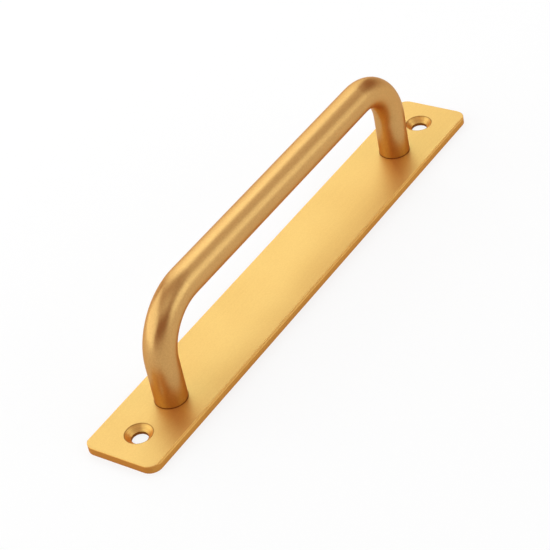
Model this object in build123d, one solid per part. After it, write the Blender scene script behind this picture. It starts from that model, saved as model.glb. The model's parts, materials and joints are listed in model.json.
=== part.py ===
from build123d import *
import math
import os

# Sliding door pull handle: a round bar bent to a D, standing on a flat back plate.
# Millimetres. The origin is the middle of the plate's back face, which lies on the door.
# The plate runs along X, and +Z points away from the door, towards the hand.

# Back plate, cut from rounded flat bar
plate_length = 220.0
plate_width = 30.5
plate_thickness = 3.2
plate_corner_radius = 4.5
long_edge_radius = 0.9
cut_edge_chamfer = 0.2

# Countersunk holes for the screws that go into the door, set in from the plate's ends
fixing_inset = 12.75
fixing_bore_radius = 3.05
fixing_rim_radius = 5.1
countersink_angle = 90.0

# Pull bar; its legs are set in from the plate's ends, and its height is from the
# plate's front face to the grip's centre line
bar_diameter = 12.0
leg_inset = 32.3
grip_height = 36.4
bend_radius = 20.25
foot_chamfer = 0.2

# Countersunk machine screws that hold the bar's feet from behind the plate
thread_radius = 2.5
screw_length = 12.0
head_radius = 4.65
head_land = 0.3
head_sink = 0.1
shank_clearance = 0.25
tip_chamfer = 0.5

# Threaded bores in the bar's feet; the run-out is the bore left free past the screw's tip
bore_run_out = 2.5
bore_lead_in = 0.3
drill_point_angle = 118.0

# Cross recess in the screw heads
recess_width = 5.0
recess_floor_width = 2.6
recess_wing = 1.1
recess_depth = 2.2

# Cone depth for each millimetre of radius
cone_rate = 1.0 / math.tan(math.radians(countersink_angle / 2))
drill_point_rate = 1.0 / math.tan(math.radians(drill_point_angle / 2))

screw_tip = head_sink + screw_length
bore_top = screw_tip + bore_run_out
leg_reach = plate_length / 2 - leg_inset
fixing_reach = plate_length / 2 - fixing_inset
leg_places = {"left": -leg_reach, "right": leg_reach}
fixing_places = (-fixing_reach, fixing_reach)


def turned(points):
    """Solid of revolution about Z from (radius, z) points of its half section."""
    return revolve(Plane.XZ * make_face(Polyline(*points, close=True)), Axis.Z)


def plate_blank():
    """Flat bar with rounded front edges, cut to length with rounded corners and broken edges."""
    outline = RectangleRounded(plate_length, plate_width, plate_corner_radius)
    cut = extrude(outline, amount=plate_thickness)
    faces = cut.faces().filter_by(Axis.Z)
    cut = chamfer(faces.edges(), cut_edge_chamfer)
    flat_bar = Box(plate_length, plate_width, plate_thickness, align=(Align.CENTER, Align.CENTER, Align.MIN))
    front_edges = flat_bar.edges().filter_by(Axis.X).group_by(Axis.Z)[-1]
    return cut & fillet(front_edges, long_edge_radius)


def fixing_hole_cutter():
    """Through bore with its countersink at the plate's front face."""
    cone_end = plate_thickness - (fixing_rim_radius - fixing_bore_radius) * cone_rate
    return turned([
        (0, 0),
        (fixing_bore_radius, 0),
        (fixing_bore_radius, cone_end),
        (fixing_rim_radius, plate_thickness),
        (0, plate_thickness),
    ])


def screw_seat_cutter():
    """Clearance bore for a bar screw, with its countersink at the plate's back face."""
    bore_radius = thread_radius + shank_clearance
    seat_start = head_sink + head_land
    rim_radius = head_radius + seat_start / cone_rate
    return turned([
        (0, 0),
        (rim_radius, 0),
        (bore_radius, (rim_radius - bore_radius) * cone_rate),
        (bore_radius, plate_thickness),
        (0, plate_thickness),
    ])


def back_plate():
    plate = plate_blank()
    for x in fixing_places:
        plate -= Pos(x, 0, 0) * fixing_hole_cutter()
    for x in leg_places.values():
        plate -= Pos(x, 0, 0) * screw_seat_cutter()
    return plate


def thread_bore_cutter():
    """Blind bore in a foot, at the thread's outer radius, with a lead-in and a drilled end."""
    foot = plate_thickness
    return turned([
        (0, foot),
        (thread_radius + bore_lead_in, foot),
        (thread_radius, foot + bore_lead_in),
        (thread_radius, bore_top),
        (0, bore_top + thread_radius * drill_point_rate),
    ])


def pull_bar():
    """Round bar bent twice, standing on the plate's front face with a threaded bore in each foot."""
    foot = plate_thickness
    grip = plate_thickness + grip_height
    left, right = leg_places.values()
    path = FilletPolyline((left, 0, foot), (left, 0, grip), (right, 0, grip), (right, 0, foot), radius=bend_radius)
    bar = sweep(Plane(origin=path @ 0, z_dir=path % 0) * Circle(bar_diameter / 2), path=path)
    bar = chamfer(bar.edges().group_by(Axis.Z)[0], foot_chamfer)
    for x in leg_places.values():
        bar -= Pos(x, 0, 0) * thread_bore_cutter()
    return bar


def recess_cutter():
    """Cross recess: two crossed wings that narrow towards the floor."""
    floor = head_sink + recess_depth
    side = Polyline(
        (-recess_width / 2, head_sink),
        (recess_width / 2, head_sink),
        (recess_floor_width / 2, floor),
        (-recess_floor_width / 2, floor),
        close=True,
    )
    wing = extrude(Plane.XZ * make_face(side), amount=recess_wing / 2, both=True)
    return wing + Rot(0, 0, 90) * wing


def bar_screw():
    """Countersunk screw on the Z axis, seated in the plate, with its thread as a plain cylinder."""
    seat_start = head_sink + head_land
    cone_end = seat_start + (head_radius - thread_radius) * cone_rate
    body = turned([
        (0, head_sink),
        (head_radius, head_sink),
        (head_radius, seat_start),
        (thread_radius, cone_end),
        (thread_radius, screw_tip - tip_chamfer),
        (thread_radius - tip_chamfer, screw_tip),
        (0, screw_tip),
    ])
    return body - recess_cutter()


os.makedirs("parts", exist_ok=True)
export_step(back_plate(), "parts/back_plate.step")
export_step(pull_bar(), "parts/pull_bar.step")
for side, x in leg_places.items():
    export_step(Pos(x, 0, 0) * bar_screw(), f"parts/bar_screw_{side}.step")
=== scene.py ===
import json
import math

import bpy
from mathutils import Matrix, Vector


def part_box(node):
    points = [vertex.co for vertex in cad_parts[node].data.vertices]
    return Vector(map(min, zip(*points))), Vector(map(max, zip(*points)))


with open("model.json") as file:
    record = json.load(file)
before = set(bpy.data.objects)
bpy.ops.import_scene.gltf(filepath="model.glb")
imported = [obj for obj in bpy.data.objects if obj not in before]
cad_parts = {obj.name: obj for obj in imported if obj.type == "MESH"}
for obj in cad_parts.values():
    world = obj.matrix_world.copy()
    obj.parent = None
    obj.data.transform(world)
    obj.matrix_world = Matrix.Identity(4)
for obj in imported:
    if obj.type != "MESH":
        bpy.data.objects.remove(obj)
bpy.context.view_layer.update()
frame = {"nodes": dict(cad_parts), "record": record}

# Metres, in the part's own frame: the plate's back lies at z = 0 along X, and +Z points to the hand.

MM = 0.001

# Camera, at the photograph's viewing angle
CAMERA_AIM = Vector((-26.5, -14.1, 22.8)) * MM
CAMERA_DISTANCE = 672.6 * MM
CAMERA_AZIMUTH = -49.86
CAMERA_ELEVATION = 37.52
CAMERA_ROLL = -11.99
CAMERA_SENSOR = 36.0
CAMERA_LENS = 125.15
CAMERA_CLIP = 0.01

# Soft boxes: name, azimuth, elevation, width, height and power. All are the same distance away.
LAMP_DISTANCE = 1.2
LAMPS = (
    ("lamp_front", 17.6, 23.0, 1.41, 0.66, 5.9),
    ("lamp_left", 223.2, 26.5, 2.05, 1.13, 13.9),
    ("lamp_behind", 137.0, 38.0, 1.05, 1.39, 7.9),
    ("lamp_right", 92.8, 50.0, 2.16, 0.24, 2.1),
    ("lamp_top", 0.3, 80.0, 2.20, 1.99, 5.4),
    ("lamp_fill", 298.0, 60.0, 0.8, 0.6, 0.9),
)

# The room: pale up to a little above the horizon, then dim. The two heights are sines of the elevation.
HORIZON_STRENGTH = 0.65
ROOM_STRENGTH = 0.04
HORIZON_LOW = 0.13
HORIZON_HIGH = 0.24

# The floor's own white, and how much of what the eye and reflections see of it is plain white
FLOOR_WHITE = 0.94
FLOOR_GLOW = 0.8

# How far the floor lies below the plate's back, so that the two faces don't coincide, and half its size
FLOOR_DROP = 0.05 * MM
FLOOR_REACH = 3.0

# Gold anodised aluminium: the bar, and the plate from its faces to its cut sides. Past the face, the
# plate's golds are painted light on the shoulder and painted shade on the round edges and cut sides.
BAR_GOLD = (0.487, 0.36, 0.133)
PLATE_GOLD = (0.594, 0.533, 0.19)
SHOULDER_PAINTED_LIGHT_GOLD = (0.86, 0.71, 0.235)
ROUND_PAINTED_SHADE_GOLD = (0.66, 0.515, 0.16)
WALL_PAINTED_SHADE_GOLD = (0.44, 0.35, 0.092)

# Gold of the turned countersinks, brown of the painted shade in bores, along rims and at seams, and the
# metal's tint at grazing angles
CONE_GOLD = (0.65, 0.515, 0.155)
SHADE_BROWN = (0.17, 0.08, 0.016)
EDGE_TINT = (0.78, 0.7, 0.56)

# The deep orange that the dyed film scatters by itself, how much of it is left under painted shade, and its
# share
DYE_ORANGE = (0.97, 0.14, 0.0)
DYE_IN_SHADE = 0.38
BAR_DYE = 0.2
PLATE_DYE = 0.3

# Bright zinc on the screws, and the darker zinc of the painted shade in their recess
ZINC = (0.62, 0.63, 0.65)
ZINC_PAINTED_SHADE = (0.30, 0.30, 0.31)

# How far clouds, lines or rings take a colour, as factors of it
BAR_TONES = (0.97, 1.03)
PLATE_TONES = (0.97, 1.02)
WALL_TONES = (0.93, 1.06)
CONE_TONES = (0.82, 1.18)
ZINC_TONES = (0.88, 1.0)

# Factor and greatest share of darker tones: drawn lines, the ends, painted shade at the foot of the sides,
# screw rings
LINE_TONE, LINE_SHARE = 0.96, 0.5
END_TONE = 0.75
LOW_PAINTED_SHADE_TONE, LOW_PAINTED_SHADE_SHARE = 0.55, 0.5
RING_TONE, RING_SHARE = 0.8, 0.6

# Roughness, from the smoothest cloud to the roughest, and how the plate's slopes and countersinks differ
BAR_ROUGHNESS = (0.32, 0.36)
PLATE_ROUGHNESS = (0.44, 0.50)
ZINC_ROUGHNESS = (0.22, 0.34)
SLOPE_ROUGHER = 0.12
CONE_SMOOTHER = 0.17

# Noise scales, for each metre. The drawn lines are noise that hardly changes along the plate.
BAR_CLOUDS = 60.0
PLATE_CLOUDS = 38.0
ZINC_CLOUDS = 400.0
LINES = 1500.0
LINE_STRETCH = (0.02, 1.0, 1.0)
CONE_RINGS = 5200.0
ZINC_RINGS = 2400.0
GRAIN = 1500.0
PITS = 2600.0
SWELLS = 600.0

# The parts of a noise's range that are spread from none to full
MIDDLE = (0.3, 0.7)
NARROW_MIDDLE = (0.35, 0.65)

# Depths of the bumps at full strength
PIT_DEPTH = 0.02 * MM
SWELL_DEPTH = 0.03 * MM
LINE_DEPTH = 0.02 * MM
RING_DEPTH = 0.02 * MM

# Strengths of the bumps, and how far the grain takes a colour
BAR_BLAST = 0.35
PLATE_BLAST = 0.25
SWELL_SHARE = 0.5
LINE_BUMP = 0.06
RING_BUMP = 0.15
BAR_GRAIN = 0.06
PLATE_GRAIN = 0.035

# How upright the plate's normal is, from 0 on a side to 1 on a face, where one colour, roughness or shade
# turns into the next. From side to face the colours are painted shade, then painted light on the shoulder,
# then the face's gold.
WALL_TO_ROUND = (0.15, 0.45)
ROUND_TO_SHOULDER = (0.8, 0.94)
SHOULDER_TO_FACE = (0.97, 0.999)
SLOPE_TO_FLAT = (0.9, 1.0)
BORE_TO_CONE = (0.2, 0.6)
CONE_TO_FLAT = (0.85, 0.97)

# The same along the plate, where a long side turns into an end, which is made darker
SIDE_TO_END = (0.6, 0.95)

# Rims and seams get painted shade where the normal points up this far
RIM_FACING = (0.2, 0.6)
SEAM_FACING = (0.5, 0.9)

# Distances over which painted shade fades: from a rim, from a foot's edge, up a foot and up the plate's
# sides
RIM_LINE = (0.06 * MM, 0.3 * MM)
SEAM_LINE = (0.05 * MM, 0.4 * MM)
FOOT_LINE = (0.15 * MM, 0.45 * MM)
LOW_PAINTED_SHADE_LINE = (0.0, 1.2 * MM)
LINE_SHADE = 0.7
FOOT_SHADE = 0.75

# The screws' recess: heights over which painted shade darkens it, how far, and how much of that its floor
# gets
RECESS_LINE = (0.15 * MM, 0.6 * MM)
RECESS_PAINTED_SHADE = 0.8
RECESS_FACING = (-0.9, -0.2)
RECESS_FLOOR = 0.6

# Places and sizes that the materials follow
FIXING_REACH = frame["record"]["mounts"][0]["dims"]["spacing_x_mm"] / 2 * MM
LEG_REACH = (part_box("bar_screw_right")[0][0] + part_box("bar_screw_right")[1][0]) / 2
FOOT_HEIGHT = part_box("pull_bar")[0][2]
FOOT_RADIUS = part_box("pull_bar")[1][1]
RIM_RADIUS = 5.1 * MM
RIM_EDGE = 0.05 * MM


class Shader:
    """A small helper that adds and links nodes of one material."""

    def __init__(self, name):
        self.material = bpy.data.materials.new(name)
        self.material.use_nodes = True
        self.nodes = self.material.node_tree.nodes
        self.links = self.material.node_tree.links
        self.nodes.clear()
        self.output = self.nodes.new("ShaderNodeOutputMaterial")
        self.place = self.nodes.new("ShaderNodeTexCoord").outputs["Object"]
        self.geometry = self.nodes.new("ShaderNodeNewGeometry").outputs

    def add(self, kind, **values):
        node = self.nodes.new(kind)
        for key, value in values.items():
            setattr(node, key, value)
        return node

    def feed(self, socket, value):
        """Links an output to the socket, or sets a constant on it."""
        if isinstance(value, bpy.types.NodeSocket):
            self.links.new(value, socket)
        elif socket.type == "RGBA":
            socket.default_value = (*value, 1.0)
        else:
            socket.default_value = value

    def surface(self, kind, inputs):
        """Adds a shader with its inputs by name."""
        node = self.add(kind)
        for name, value in inputs.items():
            self.feed(node.inputs[name], value)
        return node.outputs[0]

    def mixed(self, share, a, b):
        """The first shader, with a share of the second."""
        node = self.add("ShaderNodeMixShader")
        for socket, value in zip(node.inputs, (share, a, b)):
            self.feed(socket, value)
        return node.outputs[0]

    def finish(self, shader):
        self.feed(self.output.inputs["Surface"], shader)
        return self.material

    def math(self, operation, a, b=0.0):
        node = self.add("ShaderNodeMath", operation=operation)
        self.feed(node.inputs[0], a)
        self.feed(node.inputs[1], b)
        return node.outputs[0]

    def split(self, vector):
        node = self.add("ShaderNodeSeparateXYZ")
        self.feed(node.inputs[0], vector)
        return node.outputs

    def spread(self, value, low, high, to_low=0.0, to_high=1.0):
        """Maps a value smoothly from one range to another, and holds it at the ends."""
        node = self.add("ShaderNodeMapRange", interpolation_type="SMOOTHSTEP")
        self.feed(node.inputs["Value"], value)
        node.inputs["From Min"].default_value = low
        node.inputs["From Max"].default_value = high
        node.inputs["To Min"].default_value = to_low
        node.inputs["To Max"].default_value = to_high
        return node.outputs["Result"]

    def noise(self, place, scale, detail=3.0, roughness=0.5):
        node = self.add("ShaderNodeTexNoise")
        self.feed(node.inputs["Vector"], place)
        node.inputs["Scale"].default_value = scale
        node.inputs["Detail"].default_value = detail
        node.inputs["Roughness"].default_value = roughness
        return node.outputs["Fac"]

    def stretched(self, factors):
        """Places multiplied by a factor for each axis."""
        node = self.add("ShaderNodeVectorMath", operation="MULTIPLY")
        self.feed(node.inputs[0], self.place)
        self.feed(node.inputs[1], factors)
        return node.outputs["Vector"]

    def blend(self, factor, a, b, mode="MIX"):
        """Two colours mixed by a factor."""
        node = self.add("ShaderNodeMix", data_type="RGBA", blend_type=mode)
        self.feed(node.inputs[0], factor)
        self.feed(node.inputs[6], a)
        self.feed(node.inputs[7], b)
        return node.outputs[2]

    def toned(self, factor, colour, tones):
        """A colour that goes from its darker tone to its lighter one."""
        darker, lighter = tones
        return self.blend(factor, shaded(colour, darker), shaded(colour, lighter))

    def grey(self, value):
        node = self.add("ShaderNodeCombineXYZ")
        for socket in node.inputs:
            self.feed(socket, value)
        return node.outputs[0]

    def bump(self, height, strength, distance, normal=None):
        node = self.add("ShaderNodeBump")
        node.inputs["Strength"].default_value = strength
        node.inputs["Distance"].default_value = distance
        self.feed(node.inputs["Height"], height)
        if normal is not None:
            self.feed(node.inputs["Normal"], normal)
        return node.outputs["Normal"]

    def away_from(self, reach):
        """Distance from the nearer of two upright axes, at x = reach and x = -reach."""
        x, y, _ = self.split(self.place)
        along = self.math("SUBTRACT", self.math("ABSOLUTE", x), reach)
        squares = self.math("ADD", self.math("MULTIPLY", along, along), self.math("MULTIPLY", y, y))
        return self.math("SQRT", squares)

    def rings(self, distance, scale):
        """Fine turned rings, as a noise that runs along the distance from an axis."""
        node = self.add("ShaderNodeCombineXYZ")
        self.feed(node.inputs[0], distance)
        return self.noise(node.outputs[0], scale, roughness=0.6)

    def edge_shade(self, distance, edge, line, up, facing):
        """Painted shade along a round edge at a distance from an axis, where the surface faces up."""
        gap = self.math("ABSOLUTE", self.math("SUBTRACT", distance, edge))
        return self.math("MULTIPLY", self.spread(gap, *line, LINE_SHADE, 0.0), self.spread(up, *facing))


def shaded(colour, factor):
    return tuple(factor * channel for channel in colour)


def blasted(s, strength):
    """The fine pits of a bead blast, as a bump."""
    pits = s.noise(s.place, PITS, roughness=0.65)
    swells = s.noise(s.place, SWELLS, detail=2.0)
    fine = s.bump(pits, strength, PIT_DEPTH)
    return s.bump(swells, SWELL_SHARE * strength, SWELL_DEPTH, fine)


def grained(s, colour, amount):
    """The colour with the fine light and dark specks of a bead blast."""
    grain = s.noise(s.place, GRAIN, roughness=0.7)
    specks = s.spread(grain, *NARROW_MIDDLE, 1.0 - amount, 1.0 + amount)
    return s.blend(1.0, colour, s.grey(specks), "MULTIPLY")


def anodised(s, colour, shade, roughness, normal, dye_share):
    """Tinted metal with a share of the dye's own colour, both darkened by painted shade where the shade is
    full.
    """
    metal = s.surface("ShaderNodeBsdfPrincipled", {
        "Base Color": s.blend(shade, colour, SHADE_BROWN),
        "Metallic": 1.0,
        "Specular Tint": EDGE_TINT,
        "Roughness": roughness,
        "Normal": normal,
    })
    dye = s.surface("ShaderNodeBsdfDiffuse", {
        "Color": s.blend(shade, DYE_ORANGE, shaded(DYE_ORANGE, DYE_IN_SHADE)),
        "Normal": normal,
    })
    return s.finish(s.mixed(dye_share, metal, dye))


def plate_finish():
    """Anodised flat bar: blasted faces with faint drawn lines, cut sides, and turned countersinks, with
    painted shade on the sides, round edges, bores, rims and around the feet, and painted light on the
    shoulder.
    """
    s = Shader("gold_plate")
    along, _, up = s.split(s.geometry["Normal"])
    _, _, height = s.split(s.place)
    clouds = s.noise(s.place, PLATE_CLOUDS)
    lines = s.noise(s.stretched(LINE_STRETCH), LINES, roughness=0.6)
    from_hole = s.away_from(FIXING_REACH)
    from_leg = s.away_from(LEG_REACH)
    rings = s.rings(from_hole, CONE_RINGS)
    flatness = s.math("ABSOLUTE", up)

    face = s.toned(s.spread(clouds, *MIDDLE), PLATE_GOLD, PLATE_TONES)
    face = s.blend(s.spread(lines, *NARROW_MIDDLE, 0.0, LINE_SHARE), face, shaded(PLATE_GOLD, LINE_TONE))
    # The cut sides carry painted shade in their darker gold and towards their foot, and are darker still at
    # the ends.
    wall_with_painted_shade = s.toned(s.spread(lines, *MIDDLE), WALL_PAINTED_SHADE_GOLD, WALL_TONES)
    wall_with_painted_shade = s.blend(s.spread(s.math("ABSOLUTE", along), *SIDE_TO_END), wall_with_painted_shade, shaded(WALL_PAINTED_SHADE_GOLD, END_TONE))
    wall_with_painted_shade = s.blend(s.spread(height, *LOW_PAINTED_SHADE_LINE, LOW_PAINTED_SHADE_SHARE, 0.0), wall_with_painted_shade, shaded(WALL_PAINTED_SHADE_GOLD, LOW_PAINTED_SHADE_TONE))
    # Painted shade on the sides and round edges, and painted light on the shoulder, blended in by how
    # upright the normal is.
    colour = s.blend(s.spread(flatness, *WALL_TO_ROUND), wall_with_painted_shade, ROUND_PAINTED_SHADE_GOLD)
    colour = s.blend(s.spread(flatness, *ROUND_TO_SHOULDER), colour, SHOULDER_PAINTED_LIGHT_GOLD)
    colour = s.blend(s.spread(flatness, *SHOULDER_TO_FACE), colour, face)

    cone = s.toned(s.spread(rings, *NARROW_MIDDLE), CONE_GOLD, CONE_TONES)
    inside_rim = s.spread(from_hole, RIM_RADIUS, RIM_RADIUS + RIM_EDGE, 1.0, 0.0)
    in_hole = s.math("MULTIPLY", inside_rim, s.spread(flatness, *CONE_TO_FLAT, 1.0, 0.0))
    colour = s.blend(in_hole, colour, cone)

    # Painted shade in the bores, along the countersinks' rims and around the bar's feet.
    painted_bore_shade = s.math("MULTIPLY", in_hole, s.spread(flatness, *BORE_TO_CONE, 1.0, 0.0))
    rim = s.edge_shade(from_hole, RIM_RADIUS, RIM_LINE, up, RIM_FACING)
    painted_seam_shade = s.edge_shade(from_leg, FOOT_RADIUS, SEAM_LINE, up, SEAM_FACING)
    shade = s.math("MAXIMUM", s.math("MAXIMUM", painted_bore_shade, rim), painted_seam_shade)

    drawn = s.bump(lines, LINE_BUMP, LINE_DEPTH, blasted(s, PLATE_BLAST))
    roughness = s.spread(clouds, *MIDDLE, *PLATE_ROUGHNESS)
    roughness = s.math("ADD", roughness, s.spread(flatness, *SLOPE_TO_FLAT, SLOPE_ROUGHER, 0.0))
    roughness = s.math("SUBTRACT", roughness, s.math("MULTIPLY", in_hole, CONE_SMOOTHER))
    return anodised(s, grained(s, colour, PLATE_GRAIN), shade, roughness, drawn, PLATE_DYE)


def bar_finish():
    """Anodised round bar with a bead blast, and painted shade at its feet."""
    s = Shader("gold_bar")
    clouds = s.noise(s.place, BAR_CLOUDS)
    _, _, height = s.split(s.place)
    colour = s.toned(s.spread(clouds, *MIDDLE), BAR_GOLD, BAR_TONES)
    # Painted shade up each foot, where the bar meets the plate.
    painted_seam_shade = s.spread(height, *(FOOT_HEIGHT + end for end in FOOT_LINE), FOOT_SHADE, 0.0)
    roughness = s.spread(clouds, *MIDDLE, *BAR_ROUGHNESS)
    return anodised(s, grained(s, colour, BAR_GRAIN), painted_seam_shade, roughness, blasted(s, BAR_BLAST), BAR_DYE)


def zinc_finish():
    """Bright zinc on a turned screw, with painted shade in the recess."""
    s = Shader("zinc_screw")
    _, _, height = s.split(s.place)
    _, _, up = s.split(s.geometry["Normal"])
    clouds = s.noise(s.place, ZINC_CLOUDS)
    rings = s.rings(s.away_from(LEG_REACH), ZINC_RINGS)
    colour = s.toned(s.spread(clouds, *MIDDLE), ZINC, ZINC_TONES)
    colour = s.blend(s.spread(rings, *NARROW_MIDDLE, 0.0, RING_SHARE), colour, shaded(ZINC, RING_TONE))
    # Painted shade deep in the recess, less on its floor.
    deep_painted_shade = s.spread(height, *RECESS_LINE, 0.0, RECESS_PAINTED_SHADE)
    painted_recess_shade = s.math("MULTIPLY", deep_painted_shade, s.spread(up, *RECESS_FACING, RECESS_FLOOR, 1.0))
    return s.finish(s.surface("ShaderNodeBsdfPrincipled", {
        "Base Color": s.blend(painted_recess_shade, colour, ZINC_PAINTED_SHADE),
        "Metallic": 1.0,
        "Roughness": s.spread(clouds, *MIDDLE, *ZINC_ROUGHNESS),
        "Normal": s.bump(rings, RING_BUMP, RING_DEPTH),
    }))


def floor_finish():
    """Plain white that keeps the shadow, and is clear to a camera below, so that the plate's back shows."""
    s = Shader("floor_white")
    ray = s.add("ShaderNodeLightPath").outputs
    seen = s.math("MAXIMUM", ray["Is Camera Ray"], ray["Is Glossy Ray"])
    seen = s.math("MAXIMUM", seen, ray["Is Transmission Ray"])
    paint = s.surface("ShaderNodeBsdfDiffuse", {"Color": (FLOOR_WHITE, FLOOR_WHITE, FLOOR_WHITE)})
    white = s.surface("ShaderNodeEmission", {})
    clear = s.surface("ShaderNodeBsdfTransparent", {})
    top = s.mixed(s.math("MULTIPLY", seen, FLOOR_GLOW), paint, white)
    from_below = s.math("MULTIPLY", s.geometry["Backfacing"], ray["Is Camera Ray"])
    return s.finish(s.mixed(from_below, top, clear))


def dress():
    zinc = zinc_finish()
    finishes = {
        "back_plate": plate_finish(),
        "pull_bar": bar_finish(),
        "bar_screw_left": zinc,
        "bar_screw_right": zinc,
    }
    for node, material in finishes.items():
        for slot in frame["nodes"][node].material_slots:
            slot.material = material


def make_floor():
    turns = ((-1, -1), (1, -1), (1, 1), (-1, 1))
    corners = [(x * FLOOR_REACH, y * FLOOR_REACH, -FLOOR_DROP) for x, y in turns]
    mesh = bpy.data.meshes.new("floor")
    mesh.from_pydata(corners, [], [(0, 1, 2, 3)])
    mesh.materials.append(floor_finish())
    floor = bpy.data.objects.new("floor", mesh)
    bpy.context.scene.collection.objects.link(floor)


def direction(azimuth, elevation):
    """Unit vector from the handle. Azimuth 0 is -Y, and 90 is +X."""
    a, e = math.radians(azimuth), math.radians(elevation)
    return Vector((math.sin(a) * math.cos(e), -math.cos(a) * math.cos(e), math.sin(e)))


def add_lamp(name, azimuth, elevation, width, height, power):
    """A soft box aimed at the handle."""
    away = direction(azimuth, elevation)
    lamp = bpy.data.lights.new(name, "AREA")
    lamp.shape = "RECTANGLE"
    lamp.size = width
    lamp.size_y = height
    lamp.energy = power
    box = bpy.data.objects.new(name, lamp)
    bpy.context.scene.collection.objects.link(box)
    box.location = away * LAMP_DISTANCE
    box.rotation_euler = away.to_track_quat("Z", "Y").to_euler()
    box.visible_camera = False


def make_world():
    """The dim room, with its pale band near the horizon."""
    world = bpy.data.worlds.new("studio")
    bpy.context.scene.world = world
    world.use_nodes = True
    nodes, links = world.node_tree.nodes, world.node_tree.links
    background = nodes["Background"]
    background.inputs["Color"].default_value = (1.0, 1.0, 1.0, 1.0)
    parts = nodes.new("ShaderNodeSeparateXYZ")
    links.new(nodes.new("ShaderNodeTexCoord").outputs["Generated"], parts.inputs[0])
    fade = nodes.new("ShaderNodeMapRange")
    fade.interpolation_type = "SMOOTHSTEP"
    links.new(parts.outputs["Z"], fade.inputs["Value"])
    fade.inputs["From Min"].default_value = HORIZON_LOW
    fade.inputs["From Max"].default_value = HORIZON_HIGH
    fade.inputs["To Min"].default_value = HORIZON_STRENGTH
    fade.inputs["To Max"].default_value = ROOM_STRENGTH
    links.new(fade.outputs["Result"], background.inputs["Strength"])


def make_camera():
    back = direction(CAMERA_AZIMUTH, CAMERA_ELEVATION)
    data = bpy.data.cameras.new("camera")
    data.sensor_width = CAMERA_SENSOR
    data.lens = CAMERA_LENS
    data.clip_start = CAMERA_CLIP
    camera = bpy.data.objects.new("camera", data)
    bpy.context.scene.collection.objects.link(camera)
    turned = back.to_track_quat("Z", "Y").to_matrix() @ Matrix.Rotation(math.radians(CAMERA_ROLL), 3, "Z")
    camera.matrix_world = Matrix.Translation(CAMERA_AIM + back * CAMERA_DISTANCE) @ turned.to_4x4()
    bpy.context.scene.camera = camera


dress()
make_floor()
for lamp in LAMPS:
    add_lamp(*lamp)
make_world()
make_camera()
bpy.context.scene.view_settings.view_transform = "Standard"
